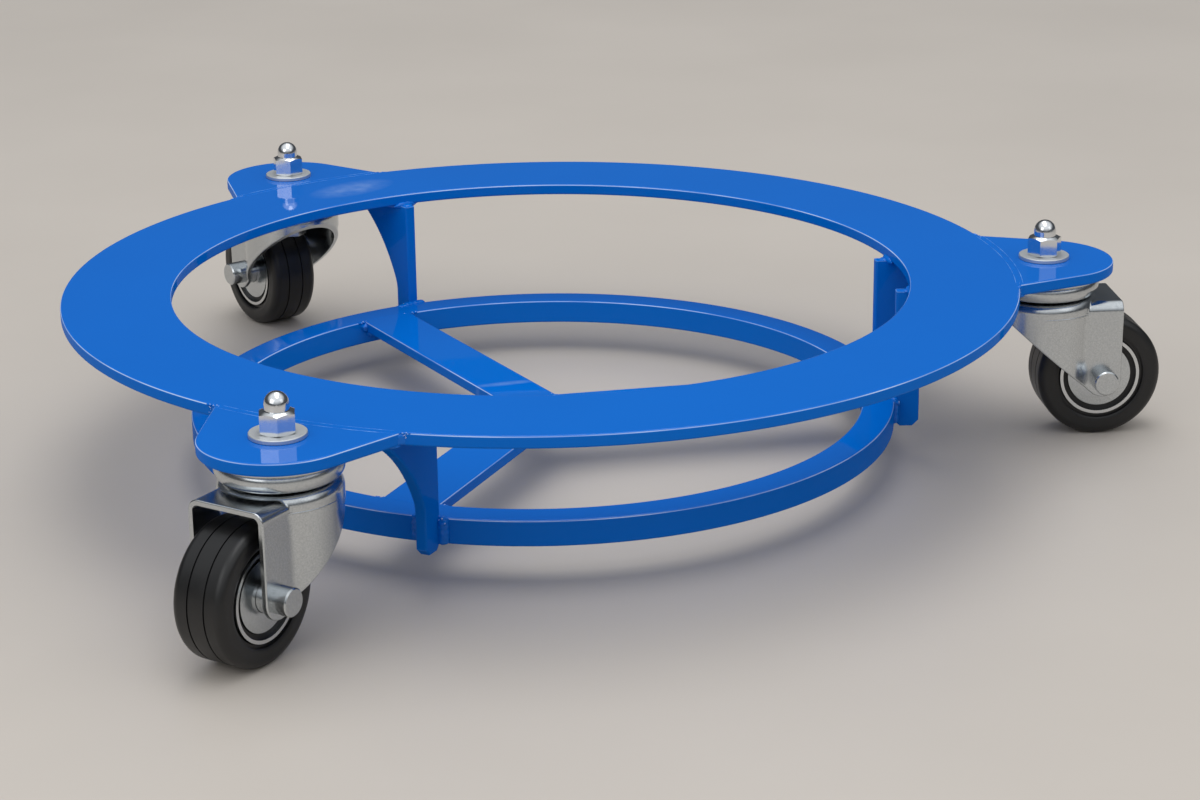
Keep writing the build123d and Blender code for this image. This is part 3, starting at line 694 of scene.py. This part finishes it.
# The balls of the swivel heads: the same steel, loose in their races and packed in dark grease. They are
# drawn near black, painted shade that makes the narrow gap under each cup black.
grease_and_painted_shade, tree, shader, place = new_material("greased_steel_painted_dark_as_shade")
smear = add_node(tree, "ShaderNodeTexNoise", {"Vector": place, "Scale": repeats(1.5), "Detail": 3.0})
set_inputs(tree, shader, {
    "Base Color": add_node(
        tree, "ShaderNodeMix", {"Factor": smear, "A": "#0c0b0a", "B": "#1a1815"}, data_type="RGBA",
    ),
    "Roughness": add_node(
        tree, "ShaderNodeMapRange",
        {"Value": smear, "From Min": 0.3, "From Max": 0.7, "To Min": 0.4, "To Max": 0.6},
    ),
    "Specular IOR Level": 0.2,
})
for kind in ("upper_balls", "lower_balls"):
    finish_nodes(grease_and_painted_shade, *[f"{kind}_{side}" for side in SIDES])

# Tyres: black solid rubber, moulded round the wheel cores, with a satin skin that is a touch duller where it
# has rolled. The grain of the skin is drawn at 0.8 mm, coarser than it is, so that it shows.
rubber, tree, shader, place = new_material("moulded_black_rubber")
bloom = add_node(tree, "ShaderNodeTexNoise", {"Vector": place, "Scale": repeats(14.0), "Detail": 4.0})
dull = add_node(tree, "ShaderNodeMapRange", {"Value": bloom, "From Min": 0.35, "From Max": 0.75})
skin = add_node(tree, "ShaderNodeTexNoise", {"Vector": place, "Scale": repeats(0.8), "Detail": 3.0})
set_inputs(tree, shader, {
    "Base Color": add_node(
        tree, "ShaderNodeMix", {"Factor": dull, "A": "#101011", "B": "#171718"}, data_type="RGBA",
    ),
    "Roughness": add_node(
        tree, "ShaderNodeMapRange",
        {"Value": bloom, "From Min": 0.3, "From Max": 0.7, "To Min": 0.34, "To Max": 0.44},
    ),
    "Normal": add_node(tree, "ShaderNodeBump", {"Height": skin, "Strength": 1.0, "Distance": 0.000012}),
})
finish_nodes(rubber, *[f"tyre_{side}" for side in SIDES])

# Wheel cores: black glass-filled nylon, moulded matt. They sit deep in the wheels behind the hub discs, so
# they show as dark gaps.
nylon, tree, shader, place = new_material("moulded_black_nylon")
fibres = add_node(tree, "ShaderNodeTexNoise", {"Vector": place, "Scale": repeats(1.2), "Detail": 2.0})
set_inputs(tree, shader, {
    "Base Color": add_node(
        tree, "ShaderNodeMix", {"Factor": fibres, "A": "#0f0f10", "B": "#171718"}, data_type="RGBA",
    ),
    "Roughness": 0.5,
})
finish_nodes(nylon, *[f"wheel_core_{side}" for side in SIDES])

# The stage: a plain pale floor under the wheels, a long ceiling lamp with two soft fills, and a surround
# that is dark near the horizon, so that level faces keep their colour and metal gets dark bands.
FLOOR_HALF = 12.0
floor_height = min(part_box(f"tyre_{side}")[0].z for side in SIDES)
floor_mesh = bpy.data.meshes.new("floor")
floor_mesh.from_pydata(
    [(x * FLOOR_HALF, y * FLOOR_HALF, floor_height) for x, y in ((-1, -1), (1, -1), (1, 1), (-1, 1))],
    [], [(0, 1, 2, 3)],
)
floor = bpy.data.objects.new("floor", floor_mesh)
bpy.context.scene.collection.objects.link(floor)
floor_paint, tree, shader, place = new_material("pale_floor_paint")
mottle = add_node(tree, "ShaderNodeTexNoise", {"Vector": place, "Scale": repeats(240.0), "Detail": 5.0})
set_inputs(tree, shader, {
    "Base Color": add_node(
        tree, "ShaderNodeMix", {"Factor": mottle, "A": "#bab3ab", "B": "#c4bdb5"}, data_type="RGBA",
    ),
    "Roughness": 0.45,
})
floor_mesh.materials.append(floor_paint)

FRONT_LEAN = (0, -0.3, 1)
world = bpy.data.worlds.new("studio")
bpy.context.scene.world = world
world.use_nodes = True
tree = world.node_tree
direction = add_node(tree, "ShaderNodeTexCoord", output="Generated")
leaning = add_node(tree, "ShaderNodeVectorMath", {0: direction, 1: FRONT_LEAN}, operation="DOT_PRODUCT")
band = add_node(tree, "ShaderNodeMapRange", {"Value": leaning, "From Min": 0.34, "From Max": 0.8})
mirrored = add_node(
    tree, "ShaderNodeMix", {"Factor": band, "A": "#4a4d51", "B": "#f2f5f8"}, data_type="RGBA",
)
height = add_node(tree, "ShaderNodeSeparateXYZ", {"Vector": direction}, "Z")
rise = add_node(tree, "ShaderNodeMapRange", {"Value": height, "From Min": 0.05, "From Max": 0.6})
spread = add_node(tree, "ShaderNodeMix", {"Factor": rise, "A": "#7d7974", "B": "#fafbfc"}, data_type="RGBA")
soft_ray = add_node(tree, "ShaderNodeLightPath", output="Is Diffuse Ray")
set_inputs(tree, tree.nodes["Background"], {
    "Color": add_node(
        tree, "ShaderNodeMix", {"Factor": soft_ray, "A": mirrored, "B": spread}, data_type="RGBA",
    ),
    "Strength": 1.05,
})

LAMPS = {
    "ceiling": ((0.1, 0.2, 2.5), (0.1, 0.2, 0), 1.2, 3.2, 21.0),
    "front_left": ((-1.8, -1.9, 1.5), (0, 0, 0), 1.6, 1.6, 10.0),
    "front_right": ((1.9, -1.5, 1.4), (0, 0, 0), 1.2, 1.2, 2.0),
}
for name, (spot, aim, width, length, watts) in LAMPS.items():
    lamp = bpy.data.lights.new(name, "AREA")
    lamp.shape = "RECTANGLE"
    lamp.size = width
    lamp.size_y = length
    lamp.energy = watts
    holder = bpy.data.objects.new(name, lamp)
    holder.location = spot
    holder.rotation_euler = (Vector(aim) - Vector(spot)).to_track_quat("-Z", "Y").to_euler()
    bpy.context.scene.collection.objects.link(holder)

# The camera stands where the photograph was taken from, in front of the dolly and a little above the ring.
# Its place, turn and lens were fitted to the rings, the tabs and the wheels.
CAMERA_PLACE = (-0.1189, -1.6870, 0.575)
CAMERA_AZIMUTH = 5.258
CAMERA_PITCH = 18.933
CAMERA_ROLL = -0.683
CAMERA_LENS = 83.46
SENSOR_WIDTH = 36.0
camera = bpy.data.cameras.new("photo_camera")
camera.lens = CAMERA_LENS
camera.sensor_width = SENSOR_WIDTH
camera_holder = bpy.data.objects.new("photo_camera", camera)
camera_holder.matrix_world = (
    Matrix.Translation(CAMERA_PLACE)
    @ Matrix.Rotation(radians(-CAMERA_AZIMUTH), 4, "Z")
    @ Matrix.Rotation(radians(90 - CAMERA_PITCH), 4, "X")
    @ Matrix.Rotation(radians(CAMERA_ROLL), 4, "Z")
)
bpy.context.scene.collection.objects.link(camera_holder)
bpy.context.scene.camera = camera_holder
bpy.context.scene.view_settings.view_transform = "Standard"
